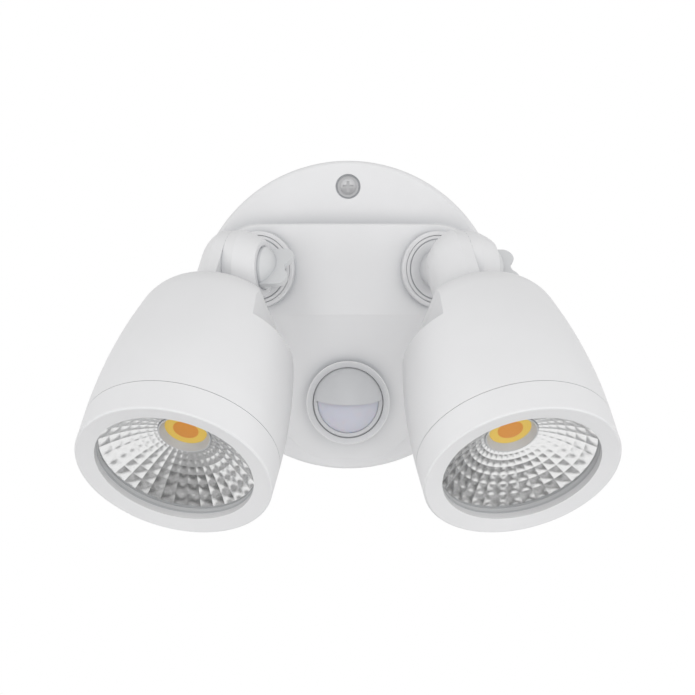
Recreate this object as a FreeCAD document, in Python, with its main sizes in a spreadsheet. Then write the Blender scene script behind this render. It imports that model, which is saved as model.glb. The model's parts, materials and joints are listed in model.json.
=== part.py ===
import FreeCAD, Part
import math
import os
import Sketcher

# A wall light with two swivelling lamp heads and a motion sensor between them.
# Frame: +Z up, the wall is the plane y = 0, the light faces -Y, and the origin is the centre of the
# wall plate on the wall. "Depth" is the distance out from the wall. All sizes are in millimetres.

SIZES = {
    # wall plate
    "plate_radius": 85.0,
    "plate_depth": 14.0,
    "plate_edge": 2.5,
    "base_wall": 3.0,
    "gasket_depth": 2.0,
    "gasket_width": 4.0,
    "gasket_inset": 0.5,
    # arched hump with the two bosses, and the ramp below it
    "hump_height": 49.6,
    "hump_level": 24.4,
    "hump_flat": 28.0,
    "hump_bend": 12.0,
    "hump_edge": 1.5,
    "ramp_slope": 20.0,
    "boss_spread": 48.2,
    "boss_depth": 33.0,
    "boss_tilt": 19.2,
    "seat_thickness": 4.0,
    "collar_radius": 21.0,
    "collar_height": 3.6,
    "collar_edge": 0.8,
    # clearances
    "running_gap": 0.06,
    "seat_gap": 0.1,
    "flange_gap": 0.3,
    "ear_gap": 0.2,
    "sweep_gap": 0.5,
    # swivel arm
    "flange_radius": 18.5,
    "flange_thickness": 4.0,
    "flange_chamfer": 0.6,
    "flange_groove_radius": 16.9,
    "flange_groove_width": 0.7,
    "flange_groove_depth": 0.9,
    "stem_radius": 8.0,
    "stem_bore": 4.5,
    "nut_radius": 13.0,
    "nut_thickness": 4.0,
    "seal_radius": 15.0,
    "seal_width": 2.0,
    "seal_depth": 1.6,
    "neck_radius": 11.2,
    "knuckle_height": 37.5,
    "barrel_radius": 20.1,
    "barrel_rim": 5.5,
    "barrel_length": 16.6,
    "barrel_end": 14.9,
    "barrel_round": 35.0,
    "recess_radius": 12.0,
    "recess_depth": 4.6,
    # ear and arm of the head
    "ear_rim": 6.4,
    "ear_length": 18.4,
    "arm_overlap": 4.0,
    "stud_radius": 2.5,
    "stud_seat": 8.0,
    "stud_reach": 20.0,
    # wing knob
    "knob_radius": 11.4,
    "knob_face": 18.1,
    "knob_dome": 14.7,
    "knob_crown": 23.5,
    "wing_root": 17.2,
    "wing_thickness": 2.6,
    "wing_half": 12.4,
    "wing_lobe": 5.3,
    "wing_lobe_reach": 26.4,
    "wing_notch": 4.0,
    # head body, along its own axis from the knuckle
    "head_tilt": 50.2,
    "head_rear": 25.0,
    "head_rear_round": 26.0,
    "head_side_round": 282.0,
    "head_radius": 52.2,
    "head_seam": 120.4,
    "shoulder_level": 58.0,
    "flat_front": 33.2,
    "flat_rear": 29.6,
    "flat_rear_level": 37.0,
    "flat_round": 16.0,
    "flat_overrun": 5.0,
    "bezel_wall": 3.2,
    "spigot_wall": 3.0,
    "spigot_end": 127.0,
    "ledge_level": 105.2,
    "ledge_width": 6.5,
    "ledge_thickness": 8.0,
    "hollow_wall": 3.0,
    "hollow_level": 72.0,
    "hollow_neck": 28.5,
    "hollow_neck_level": 62.0,
    "hollow_end": 24.0,
    "hollow_end_level": 36.0,
    # front of the head
    "bezel_front": 138.2,
    "bezel_edge": 1.0,
    "bezel_lip": 136.5,
    "bezel_face": 10.1,
    "bezel_seam": 0.3,
    "lens_gasket_front": 133.0,
    "lens_gasket_lip": 0.2,
    "glass_grip": 3.1,
    "glass_back": 129.7,
    "glass_thickness": 2.4,
    "reflector_gap": 0.3,
    "reflector_front": 128.4,
    "reflector_neck": 14.3,
    "reflector_back": 113.7,
    "reflector_round": 100.0,
    "reflector_wall": 1.3,
    # light source
    "heat_plate_thickness": 4.0,
    "chip_radius": 10.8,
    "chip_thickness": 0.8,
    "emitter_radius": 6.75,
    "emitter_thickness": 0.3,
    "holder_radius": 17.0,
    "holder_mouth": 13.4,
    "holder_top": 114.3,
    "plate_screw_inset": 3.4,
    "small_screw_radius": 1.5,
    "small_head_radius": 2.8,
    "small_head_height": 1.8,
    "small_screw_length": 9.0,
    # sensor
    "sensor_rise": 36.7,
    "sensor_depth": 30.0,
    "ball_radius": 20.0,
    "ball_rim": 8.0,
    "ball_rear": 13.0,
    "ball_bore": 16.6,
    "ball_ledge": 2.0,
    "ball_throat": 13.0,
    "ball_gap": 0.4,
    "lens_wall": 0.8,
    "lens_crown": 17.9,
    "lens_skirt": 3.5,
    "hood_inner": 18.7,
    "hood_tilt": 13.3,
    "hood_rise": 3.5,
    "sensor_collar_radius": 22.8,
    "sensor_collar_front": 38.0,
    "sensor_collar_edge": 0.6,
    "sensor_collar_dish": 1.4,
    "sensor_pin_radius": 1.5,
    "sensor_pin_inner": 17.0,
    "detector_radius": 4.7,
    "detector_height": 4.5,
    "circuit_thickness": 1.6,
    # cover screw and its recess
    "cover_screw_inset": 14.3,
    "screw_recess_radius": 6.9,
    "screw_recess_depth": 3.0,
    "screw_pillar_radius": 8.5,
    "screw_pillar_back": 8.0,
    "cover_screw_radius": 2.0,
    "cover_screw_hole": 2.3,
    "cover_head_radius": 4.25,
    "cover_head_height": 2.4,
    "cover_washer_radius": 5.8,
    "cover_washer_thickness": 1.0,
    # wall bracket
    "bracket_width": 30.0,
    "bracket_inset": 8.0,
    "bracket_thickness": 2.0,
    "bracket_slot_spacing": 84.0,
    "bracket_slot_radius": 2.6,
    "bracket_slot_length": 14.0,
    "bracket_cable_hole": 9.0,
    "cable_level": -20.0,
    "bush_radius": 4.5,
    "bush_depth": 7.5,
    # rear cover, cable entry and electronics
    "rear_cover_inset": 20.0,
    "rear_cover_front": 8.0,
    "rear_cover_thickness": 2.5,
    "rear_wall_width": 4.0,
    "rear_screw_radius": 1.25,
    "rear_head_radius": 2.4,
    "cable_entry_radius": 8.0,
    "grommet_flange": 1.5,
    "grommet_bore": 3.5,
    "board_width": 96.0,
    "board_height": 38.0,
    "board_depth": 14.0,
    "standoff_radius": 3.0,
    "standoff_inset": 5.0,
    "transformer_width": 24.0,
    "transformer_height": 20.0,
    "transformer_depth": 18.0,
    "capacitor_radius": 5.0,
    "capacitor_length": 15.0,
    "capacitor_spread": 20.0,
    "terminal_width": 30.0,
    "terminal_height": 10.0,
    "terminal_depth": 11.0,
    # setting dials under the rim
    "dial_radius": 3.9,
    "dial_gap": 0.3,
    "dial_spread": 16.0,
    "dial_level": 8.0,
    "dial_recess": 0.8,
    "dial_length": 5.0,
    "dial_shaft_radius": 1.5,
    "dial_slot_width": 1.0,
    "dial_slot_depth": 1.2,
    "sensor_board_width": 48.0,
    "sensor_board_height": 7.5,
    "sensor_board_inset": 8.4,
}

doc = FreeCAD.newDocument("SecurityLight")
sheet = doc.addObject("Spreadsheet::Sheet", "Sizes")
for row, (alias, value) in enumerate(SIZES.items(), start=1):
    sheet.set(f"A{row}", alias)
    sheet.set(f"B{row}", str(value))
    sheet.setAlias(f"B{row}", alias)
doc.recompute()


class Size:
    # A size that carries its value and the sheet expression it is worked out from.
    def __init__(self, value, text):
        self.value = value
        self.text = text

    def __add__(self, other):
        other = as_size(other)
        return Size(self.value + other.value, f"({self.text} + {other.text})")

    def __sub__(self, other):
        other = as_size(other)
        return Size(self.value - other.value, f"({self.text} - {other.text})")

    def __mul__(self, other):
        other = as_size(other)
        return Size(self.value * other.value, f"({self.text} * {other.text})")

    def __truediv__(self, other):
        other = as_size(other)
        return Size(self.value / other.value, f"({self.text} / {other.text})")

    def __rsub__(self, other):
        return as_size(other) - self

    def __radd__(self, other):
        return as_size(other) + self

    def __rmul__(self, other):
        return as_size(other) * self

    def __neg__(self):
        return Size(-self.value, f"(0 - {self.text})")


def as_size(item):
    if isinstance(item, Size):
        return item
    return Size(float(item), f"({float(item)})")


def sine(angle):
    return Size(math.sin(math.radians(angle.value)), f"sin({angle.text})")


def cosine(angle):
    return Size(math.cos(math.radians(angle.value)), f"cos({angle.text})")


def tangent(angle):
    return Size(math.tan(math.radians(angle.value)), f"tan({angle.text})")


def root(item):
    return Size(math.sqrt(item.value), f"sqrt({item.text})")


class Sheet:
    # Gives each cell of the sheet by its alias.
    def __getattr__(self, alias):
        return Size(SIZES[alias], f"Sizes.{alias}")


s = Sheet()
zero = as_size(0)

# sizes that follow from others
spigot_radius = s.head_radius - s.bezel_wall
pocket_radius = spigot_radius - s.spigot_wall
ledge_radius = pocket_radius - s.ledge_width
hollow_radius = pocket_radius - s.hollow_wall
bezel_opening = s.head_radius - s.bezel_face
lens_gasket_opening = bezel_opening - s.lens_gasket_lip
glass_radius = lens_gasket_opening + s.glass_grip
reflector_rim = lens_gasket_opening - s.reflector_gap
plate_screw_circle = pocket_radius - s.plate_screw_inset
sensor_level = s.sensor_rise - s.plate_radius
cover_screw_level = s.plate_radius - s.cover_screw_inset
bracket_length = (s.plate_radius - s.bracket_inset) * 2
rear_cover_radius = s.plate_radius - s.rear_cover_inset
rear_screw_circle = rear_cover_radius - s.rear_wall_width / 2
sensor_board_level = s.sensor_board_inset - s.plate_radius


def vector(x=0, y=0, z=0):
    return FreeCAD.Vector(as_size(x).value, as_size(y).value, as_size(z).value)


def turn(axis, angle):
    return FreeCAD.Rotation(axis, as_size(angle).value)


X_AXIS = FreeCAD.Vector(1, 0, 0)
Y_AXIS = FreeCAD.Vector(0, 1, 0)
Z_AXIS = FreeCAD.Vector(0, 0, 1)


def lifted(x, y, z):
    return FreeCAD.Placement(vector(x, y, z), FreeCAD.Rotation())


def front_frame(x, z, depth):
    # local X stays, local Y is up, and local Z points out from the wall
    return FreeCAD.Placement(vector(x, -as_size(depth), z), turn(X_AXIS, 90))


def boss_frame(side):
    place = vector(side * s.boss_spread, -s.boss_depth, s.hump_level)
    return FreeCAD.Placement(place, turn(Z_AXIS, side * s.boss_tilt) * turn(X_AXIS, 90))


def arm_frame(side):
    # origin on the tilt axis, which is local X, with local Z along the swivel axis
    return boss_frame(side) * lifted(0, 0, s.knuckle_height)


def head_frame(side):
    # local X is the tilt axis and local Z the axis of the lamp head
    return arm_frame(side) * FreeCAD.Placement(vector(), turn(X_AXIS, s.head_tilt))


# ---- sketches and features -------------------------------------------------------------------

def bind(item, path, size):
    item.setExpression(path, as_size(size).text)


def new_body(name):
    return doc.addObject("PartDesign::Body", name)


def sketch_on(body, role, offset=zero):
    plane = [item for item in body.Origin.OriginFeatures if item.Role == role][0]
    sketch = body.newObject("Sketcher::SketchObject", body.Name + "_outline")
    sketch.AttachmentSupport = [(plane, "")]
    sketch.MapMode = "FlatFace"
    bind(sketch, "AttachmentOffset.Base.z", offset)
    return sketch


def pin_point(sketch, edge, point, place):
    for kind, size, axis in (("DistanceX", place[0], -2), ("DistanceY", place[1], -1)):
        size = as_size(size)
        if abs(size.value) < 1e-9:
            sketch.addConstraint(Sketcher.Constraint("PointOnObject", edge, point, axis))
            continue
        index = sketch.addConstraint(Sketcher.Constraint(kind, -1, 1, edge, point, size.value))
        bind(sketch, f"Constraints[{index}]", size)


def arc_between(start, end, radius):
    # the short arc of the given radius; a negative radius curves to the right of the way taken
    chord = end - start
    middle = (start + end) * 0.5
    left = FreeCAD.Vector(-chord.y, chord.x, 0).normalize()
    rise = math.sqrt(max(radius * radius - chord.Length ** 2 / 4, 0))
    centre = middle + left * math.copysign(rise, radius)
    first, last = (start, end) if radius > 0 else (end, start)
    angles = [math.atan2(point.y - centre.y, point.x - centre.x) for point in (first, last)]
    circle = Part.Circle(centre, Z_AXIS, abs(radius))
    return Part.ArcOfCircle(circle, angles[0], angles[1])


def add_outline(sketch, corners):
    # corners: (x, y), or (x, y, radius) where the edge that leaves the corner is an arc
    points = [vector(corner[0], corner[1]) for corner in corners]
    first = sketch.GeometryCount
    ends = []
    for index, corner in enumerate(corners):
        start = points[index]
        end = points[(index + 1) % len(points)]
        if len(corner) == 3:
            radius = as_size(corner[2])
            edge = sketch.addGeometry(arc_between(start, end, radius.value))
            forward = radius.value > 0
            ends.append((edge, 1 if forward else 2, 2 if forward else 1))
            limit = sketch.addConstraint(Sketcher.Constraint("Radius", edge, abs(radius.value)))
            bind(sketch, f"Constraints[{limit}]", radius if forward else -radius)
        else:
            edge = sketch.addGeometry(Part.LineSegment(start, end))
            ends.append((edge, 1, 2))
    for index, (edge, start, end) in enumerate(ends):
        following = ends[(index + 1) % len(ends)]
        sketch.addConstraint(Sketcher.Constraint("Coincident", edge, end, following[0], following[1]))
    for corner, (edge, start, end) in zip(corners, ends):
        pin_point(sketch, edge, start, corner)
    return first


def add_circle(sketch, x, y, radius):
    radius = as_size(radius)
    edge = sketch.addGeometry(Part.Circle(vector(x, y), Z_AXIS, radius.value))
    pin_point(sketch, edge, 3, (x, y))
    limit = sketch.addConstraint(Sketcher.Constraint("Radius", edge, radius.value))
    bind(sketch, f"Constraints[{limit}]", radius)


def feature(body, kind, sketch):
    item = body.newObject(kind, body.Name + "_step")
    item.Profile = sketch
    return item


def revolve(body, corners, axis="V_Axis", kind="PartDesign::Revolution"):
    # turns a half section about the body's Z axis, or about its X axis with axis="H_Axis"
    sketch = sketch_on(body, "XZ_Plane")
    add_outline(sketch, corners)
    item = feature(body, kind, sketch)
    item.ReferenceAxis = (sketch, [axis])
    item.Angle = 360
    doc.recompute()
    return item


def pad(body, role, loops, length, offset=zero, midplane=False, kind="PartDesign::Pad", direction=None):
    # a loop is a list of corners, or ("circle", x, y, radius)
    sketch = sketch_on(body, role, offset)
    for loop in loops:
        if loop[0] == "circle":
            add_circle(sketch, *loop[1:])
        else:
            add_outline(sketch, loop)
    item = feature(body, kind, sketch)
    item.Midplane = midplane
    if direction is not None:
        item.UseCustomVector = True
        item.AlongSketchNormal = False
        item.Direction = direction
    bind(item, "Length", length)
    doc.recompute()
    return item


def pocket(body, role, loops, length, offset=zero, midplane=False):
    before = body.Shape.Volume
    item = pad(body, role, loops, length, offset, midplane, "PartDesign::Pocket")
    if body.Shape.Volume >= before - 1e-6:
        raise RuntimeError(f"a pocket in {body.Name} cuts nothing")
    return item


def groove(body, corners, axis="V_Axis"):
    before = body.Shape.Volume
    item = revolve(body, corners, axis, "PartDesign::Groove")
    if body.Shape.Volume >= before - 1e-6:
        raise RuntimeError(f"a groove in {body.Name} cuts nothing")
    return item


def round_edges(body, radius, test):
    # rounds the edges of the body that pass the test
    tip = body.Tip
    names = [f"Edge{number}" for number, edge in enumerate(tip.Shape.Edges, start=1) if test(edge)]
    if not names:
        raise RuntimeError(f"no edge to round in {body.Name}")
    item = body.newObject("PartDesign::Fillet", body.Name + "_round")
    item.Base = (tip, names)
    bind(item, "Radius", radius)
    doc.recompute()
    return item


def solid(kind, name, sizes, place=None):
    item = doc.addObject(kind, name)
    for path, size in sizes.items():
        bind(item, path, size)
    if place is not None:
        item.Placement = place
    return item


def cylinder(name, radius, height, place=None):
    return solid("Part::Cylinder", name, {"Radius": radius, "Height": height}, place)


def block(name, low, size):
    sizes = {"Length": size[0], "Width": size[1], "Height": size[2]}
    item = solid("Part::Box", name, sizes)
    for axis, value in zip("xyz", low):
        bind(item, f"Placement.Base.{axis}", value)
    return item


def join(name, items):
    item = doc.addObject("Part::MultiFuse", name)
    item.Shapes = items
    item.Refine = True
    return item


def cut(name, base, tool):
    item = doc.addObject("Part::Cut", name)
    item.Base = base
    item.Tool = tool
    item.Refine = True
    return item


nodes = []


def keep(item, name, place=None):
    item.Label = name
    if place is not None:
        item.Placement = place
    nodes.append(item)
    return item


def turned(name, corners, place, axis="V_Axis"):
    body = new_body(name)
    revolve(body, corners, axis)
    return keep(body, name, place)


# ---- wall base -------------------------------------------------------------------------------

def hump_depth(x):
    # depth of the tilted boss plane at a distance x from the middle
    return s.boss_depth + (s.boss_spread - x) * tangent(s.boss_tilt)


def arch(inset):
    # the hump's front, from right to left: tilted plane, bend, flat crown, bend, tilted plane
    bend = (s.hump_flat - s.hump_bend) / sine(s.boss_tilt)
    crown = hump_depth(s.hump_flat) + bend * (1 - cosine(s.boss_tilt)) - inset
    edge = hump_depth(s.hump_flat) - inset
    return [
        (s.hump_flat, -edge, -bend),
        (s.hump_bend, -crown),
        (-s.hump_bend, -crown, -bend),
        (-s.hump_flat, -edge),
    ]


def on_plate_rim(edge):
    # the front outer edge of the round plate
    box = edge.BoundBox
    flat = box.YLength < 1e-3 and abs(box.YMin + SIZES["plate_depth"]) < 1e-3
    ends = [math.hypot(vertex.X, vertex.Z) for vertex in edge.Vertexes]
    return flat and all(abs(end - SIZES["plate_radius"]) < 1e-2 for end in ends)


def on_hump_top(edge):
    # the front edges along the hump's top and round its two ends
    box = edge.BoundBox
    top = SIZES["hump_level"] + SIZES["hump_height"] / 2
    front = box.YMax < -SIZES["plate_depth"]
    along_top = box.ZMin > top - 1e-3
    round_end = max(abs(box.XMin), abs(box.XMax)) > SIZES["boss_spread"] + 1
    return front and (along_top or round_end)


def base_form(name, inset):
    # the plate, hump and ramp as one solid, drawn in by the inset on every outer side
    body = new_body(name)
    end = s.hump_height / 2 - inset
    low = s.hump_level - end
    high = s.hump_level + end
    obround = [
        (-s.boss_spread, low),
        (s.boss_spread, low, end),
        (s.boss_spread + end, s.hump_level, end),
        (s.boss_spread, high),
        (-s.boss_spread, high, end),
        (-s.boss_spread - end, s.hump_level, end),
    ]
    reach = s.plate_radius + s.base_wall
    tall = s.boss_depth + s.hump_height / 2
    pad(body, "XZ_Plane", [obround], tall)
    above = [(reach, -tall - 1), (reach, inset - hump_depth(reach))]
    above += arch(inset)
    above += [(-reach, inset - hump_depth(reach)), (-reach, -tall - 1)]
    pocket(body, "XY_Plane", [above], 4 * reach, midplane=True)
    pad(body, "XZ_Plane", [("circle", 0, 0, s.plate_radius - inset)], s.plate_depth - inset)
    if inset is zero:
        round_edges(body, s.plate_edge, on_plate_rim)
    half = s.boss_spread - inset
    side = inset - hump_depth(s.boss_spread)
    section = [(half, side)] + arch(inset) + [(-half, side), (-half, 0), (half, 0)]
    slope = math.radians(SIZES["ramp_slope"])
    direction = FreeCAD.Vector(0, math.sin(slope), -math.cos(slope))
    # the ramp ends inside the plate, short of its rounded edge
    run = (s.plate_radius - s.plate_edge * 2 + low) / cosine(s.ramp_slope)
    pad(body, "XY_Plane", [section], run, offset=low, direction=direction)
    if inset is zero:
        round_edges(body, s.hump_edge, on_hump_top)
    outer = s.plate_radius * 1.4
    rim = [("circle", 0, 0, outer), ("circle", 0, 0, s.plate_radius - inset)]
    pocket(body, "XZ_Plane", rim, 4 * tall, midplane=True)
    behind = [(-outer, 0), (outer, 0), (outer, outer), (-outer, outer)]
    pocket(body, "XY_Plane", [behind], 4 * reach, midplane=True)
    return body


def make_base():
    outer = base_form("base_outer", zero)
    inner = base_form("base_inner", s.base_wall)
    shell = cut("base_shell", outer, inner)
    added = []
    removed = []
    for side, word in ((-1, "left"), (1, "right")):
        seat = new_body(f"{word}_seat")
        top = s.collar_height
        edge = s.collar_edge
        revolve(seat, [
            (zero, -s.seat_thickness), (s.collar_radius, -s.seat_thickness),
            (s.collar_radius, top - edge, edge), (s.collar_radius - edge, top), (zero, top),
        ])
        seat.Placement = boss_frame(side)
        added.append(seat)
        opening = new_body(f"{word}_opening")
        bore = s.stem_radius + s.running_gap
        recess = s.flange_radius + s.flange_gap
        revolve(opening, [
            (zero, -s.seat_thickness - 1), (bore, -s.seat_thickness - 1), (bore, zero),
            (recess, zero), (recess, top + 1), (zero, top + 1),
        ])
        opening.Placement = boss_frame(side)
        removed.append(opening)
    collar = new_body("sensor_collar")
    front = s.sensor_collar_front
    edge = s.sensor_collar_edge
    dish = s.sensor_collar_dish
    back = s.plate_depth
    bore = s.ball_radius + s.ball_gap
    rise = front - dish - s.sensor_depth
    mouth = root(bore * bore - rise * rise)
    revolve(collar, [
        (zero, back), (s.sensor_collar_radius, back), (s.sensor_collar_radius, front - edge, edge),
        (s.sensor_collar_radius - edge, front), (mouth, front - dish), (zero, front - dish),
    ])
    collar.Placement = front_frame(0, sensor_level, 0)
    added.append(collar)
    socket = new_body("sensor_socket")
    straight = s.sensor_depth + s.ball_radius / 5
    revolve(socket, [
        (zero, back - 1), (bore, back - 1), (bore, straight), (mouth, front - dish),
        (mouth, front + 1), (zero, front + 1),
    ])
    socket.Placement = front_frame(0, sensor_level, 0)
    removed.append(socket)
    reach = s.sensor_collar_radius - s.sensor_pin_inner + 1
    for side, word in ((-1, "left"), (1, "right")):
        place = FreeCAD.Placement(vector(side * s.sensor_pin_inner, -s.sensor_depth, sensor_level),
                                  turn(Y_AXIS, side * 90))
        removed.append(cylinder(f"{word}_pin_hole", s.sensor_pin_radius, reach - 1, place))
    pillar_length = s.plate_depth - s.screw_pillar_back - s.base_wall / 2
    added.append(cylinder("screw_pillar", s.screw_pillar_radius, pillar_length,
                          front_frame(0, cover_screw_level, s.screw_pillar_back)))
    recess_level = s.plate_depth - s.screw_recess_depth
    removed.append(cylinder("screw_recess", s.screw_recess_radius, s.screw_recess_depth + 1,
                            front_frame(0, cover_screw_level, recess_level)))
    removed.append(cylinder("screw_hole", s.cover_screw_hole, s.plate_depth,
                            front_frame(0, cover_screw_level, 0)))
    wall_ring = new_body("rear_wall")
    ring_inner = rear_cover_radius - s.rear_wall_width
    wall_top = s.plate_depth - s.base_wall
    revolve(wall_ring, [
        (ring_inner, s.rear_cover_front), (rear_cover_radius, s.rear_cover_front),
        (rear_cover_radius, wall_top), (ring_inner, wall_top),
    ])
    wall_ring.Placement = front_frame(0, 0, 0)
    added.append(wall_ring)
    for number, place in enumerate(rear_screw_places(s.rear_cover_front), start=1):
        removed.append(cylinder(f"rear_screw_hole_{number}", s.rear_screw_radius, s.base_wall, place))
    for number, x in enumerate(dial_places(), start=1):
        removed.append(cylinder(f"dial_hole_{number}", s.dial_radius + s.dial_gap, s.base_wall * 5,
                                dial_frame(x, s.plate_radius - s.base_wall * 3)))
    behind = cylinder("wall_gap", s.plate_radius + 1, s.gasket_depth, front_frame(0, 0, 0))
    removed.append(behind)
    solid_base = join("base_solid", [shell] + added)
    tools = join("base_tools", removed)
    housing = cut("base_cut", solid_base, tools)
    doc.recompute()
    return keep(housing, "base_housing")


def rear_screw_places(depth):
    places = []
    for number in range(4):
        angle = math.radians(45 + 90 * number)
        x = rear_screw_circle * math.cos(angle)
        z = rear_screw_circle * math.sin(angle)
        places.append(front_frame(x, z, depth))
    return places


def dial_places():
    return [-s.dial_spread, zero, s.dial_spread]


def dial_frame(x, level):
    # local Z points down, out of the rim's underside
    return FreeCAD.Placement(vector(x, -s.dial_level, -level), turn(X_AXIS, 180))


def make_wall_parts():
    ring_outer = s.plate_radius - s.gasket_inset
    turned("wall_gasket", [
        (ring_outer - s.gasket_width, zero), (ring_outer, zero), (ring_outer, s.gasket_depth),
        (ring_outer - s.gasket_width, s.gasket_depth),
    ], front_frame(0, 0, 0))
    bracket = new_body("bracket")
    half = s.bracket_width / 2
    end = bracket_length / 2
    strap = [(-half, -end), (half, -end), (half, end), (-half, end)]
    loops = [strap, ("circle", 0, s.cable_level, s.bracket_cable_hole)]
    for level in (-s.bracket_slot_spacing / 2, s.bracket_slot_spacing / 2):
        loops.append(slot(level))
    pad(bracket, "XZ_Plane", loops, s.bracket_thickness)
    pad(bracket, "XZ_Plane", [("circle", 0, cover_screw_level, s.bush_radius)],
        s.bush_depth - s.bracket_thickness, offset=s.bracket_thickness)
    pocket(bracket, "XZ_Plane", [("circle", 0, cover_screw_level, s.cover_screw_radius)],
           s.bush_depth * 3, midplane=True)
    keep(bracket, "mounting_bracket")
    shoulder = s.plate_depth - s.screw_recess_depth
    seat = shoulder + s.cover_washer_thickness
    turned("cover_screw_washer", [
        (s.cover_screw_radius, shoulder), (s.cover_washer_radius, shoulder),
        (s.cover_washer_radius, seat), (s.cover_screw_radius, seat),
    ], front_frame(0, cover_screw_level, 0))
    screw = new_body("cover_screw_body")
    crown = s.cover_head_radius * 1.8
    top = seat + s.cover_head_height
    side = top - crown + root(crown * crown - s.cover_head_radius * s.cover_head_radius)
    revolve(screw, [
        (zero, zero), (s.cover_screw_radius, zero), (s.cover_screw_radius, seat),
        (s.cover_head_radius, seat), (s.cover_head_radius, side, crown), (zero, top),
    ])
    arm = s.cover_head_radius * 0.7
    width = s.cover_head_radius * 0.18
    for corners in (
        [(-arm, -width), (arm, -width), (arm, width), (-arm, width)],
        [(-width, -arm), (width, -arm), (width, arm), (-width, arm)],
    ):
        pocket(screw, "XY_Plane", [corners], s.cover_head_height / 2, offset=top)
    keep(screw, "cover_screw", front_frame(0, cover_screw_level, 0))


def slot(level):
    end = s.bracket_slot_radius
    run = s.bracket_slot_length / 2 - end
    return [
        (end, level - run), (end, level + run, end), (zero, level + run + end, end),
        (-end, level + run), (-end, level - run, end), (zero, level - run - end, end),
    ]


def make_rear_cover():
    back = s.rear_cover_front - s.rear_cover_thickness
    cover = new_body("cover")
    loops = [("circle", 0, 0, rear_cover_radius), ("circle", 0, s.cable_level, s.cable_entry_radius)]
    for place in rear_screw_places(0):
        loops.append(("circle", place.Base.x, place.Base.z, SIZES["rear_screw_radius"] + 0.2))
    pad(cover, "XZ_Plane", loops, s.rear_cover_thickness, offset=back)
    x = s.board_width / 2 - s.standoff_inset
    z = s.board_height / 2 - s.standoff_inset
    posts = [("circle", i * x, s.hump_level + j * z, s.standoff_radius) for i in (-1, 1) for j in (-1, 1)]
    pad(cover, "XZ_Plane", posts, s.board_depth - s.rear_cover_front, offset=s.rear_cover_front)
    keep(cover, "rear_cover")
    screws = []
    for number, place in enumerate(rear_screw_places(0), start=1):
        length = s.rear_cover_thickness + s.base_wall - 1
        shank = cylinder(f"rear_shank_{number}", s.rear_screw_radius, length, place * lifted(0, 0, back))
        under = back - s.small_head_height
        head = cylinder(f"rear_head_{number}", s.rear_head_radius, s.small_head_height,
                        place * lifted(0, 0, under))
        screws.append(join(f"rear_screw_{number}", [head, shank]))
    keep(group("rear_screws", screws), "rear_cover_screws")
    lip = s.grommet_flange
    turned("cable_grommet", [
        (s.grommet_bore, back - lip), (s.cable_entry_radius + 2 * lip, back - lip),
        (s.cable_entry_radius + 2 * lip, back), (s.cable_entry_radius, back),
        (s.cable_entry_radius, s.rear_cover_front), (s.cable_entry_radius + lip, s.rear_cover_front),
        (s.cable_entry_radius, s.rear_cover_front + lip), (s.grommet_bore, s.rear_cover_front + lip),
    ], front_frame(0, s.cable_level, 0))


def group(name, items):
    item = doc.addObject("Part::Compound", name)
    item.Links = items
    doc.recompute()
    return item


def make_electronics():
    low = s.hump_level - s.board_height / 2
    front = s.board_depth + s.circuit_thickness
    keep(block("board", (-s.board_width / 2, -front, low),
               (s.board_width, s.circuit_thickness, s.board_height)), "driver_board")
    top = s.hump_level + s.board_height / 2 - 2
    core = block("transformer", (-s.transformer_width / 2, -front - s.transformer_depth,
                                 top - s.transformer_height),
                 (s.transformer_width, s.transformer_depth, s.transformer_height))
    keep(core, "driver_transformer")
    cans = []
    for side, word in ((-1, "left"), (1, "right")):
        place = front_frame(side * s.capacitor_spread, top - s.transformer_height / 2, front)
        cans.append(cylinder(f"{word}_can", s.capacitor_radius, s.capacitor_length, place))
    keep(group("cans", cans), "driver_capacitors")
    keep(block("terminals", (-s.terminal_width / 2, -front - s.terminal_depth, low + 1),
               (s.terminal_width, s.terminal_depth, s.terminal_height)), "terminal_block")
    deep = s.plate_depth - s.base_wall
    keep(block("dial_board", (-s.sensor_board_width / 2, -deep, sensor_board_level),
               (s.sensor_board_width, s.sensor_board_height, s.circuit_thickness)), "sensor_board")
    for x, word in zip(dial_places(), ("time", "lux", "range")):
        dial = new_body(f"{word}_body")
        rim = root(s.plate_radius * s.plate_radius - x * x) - s.dial_recess
        inner = rim - s.dial_length
        board = s.seat_gap - sensor_board_level
        revolve(dial, [
            (zero, board), (s.dial_shaft_radius, board), (s.dial_shaft_radius, inner),
            (s.dial_radius, inner), (s.dial_radius, rim), (zero, rim),
        ])
        half = s.dial_slot_width / 2
        long = s.dial_radius * 0.75
        pocket(dial, "XY_Plane", [[(-half, -long), (half, -long), (half, long), (-half, long)]],
               s.dial_slot_depth, offset=rim)
        keep(dial, f"{word}_dial", dial_frame(x, 0))


# ---- sensor ----------------------------------------------------------------------------------

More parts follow.
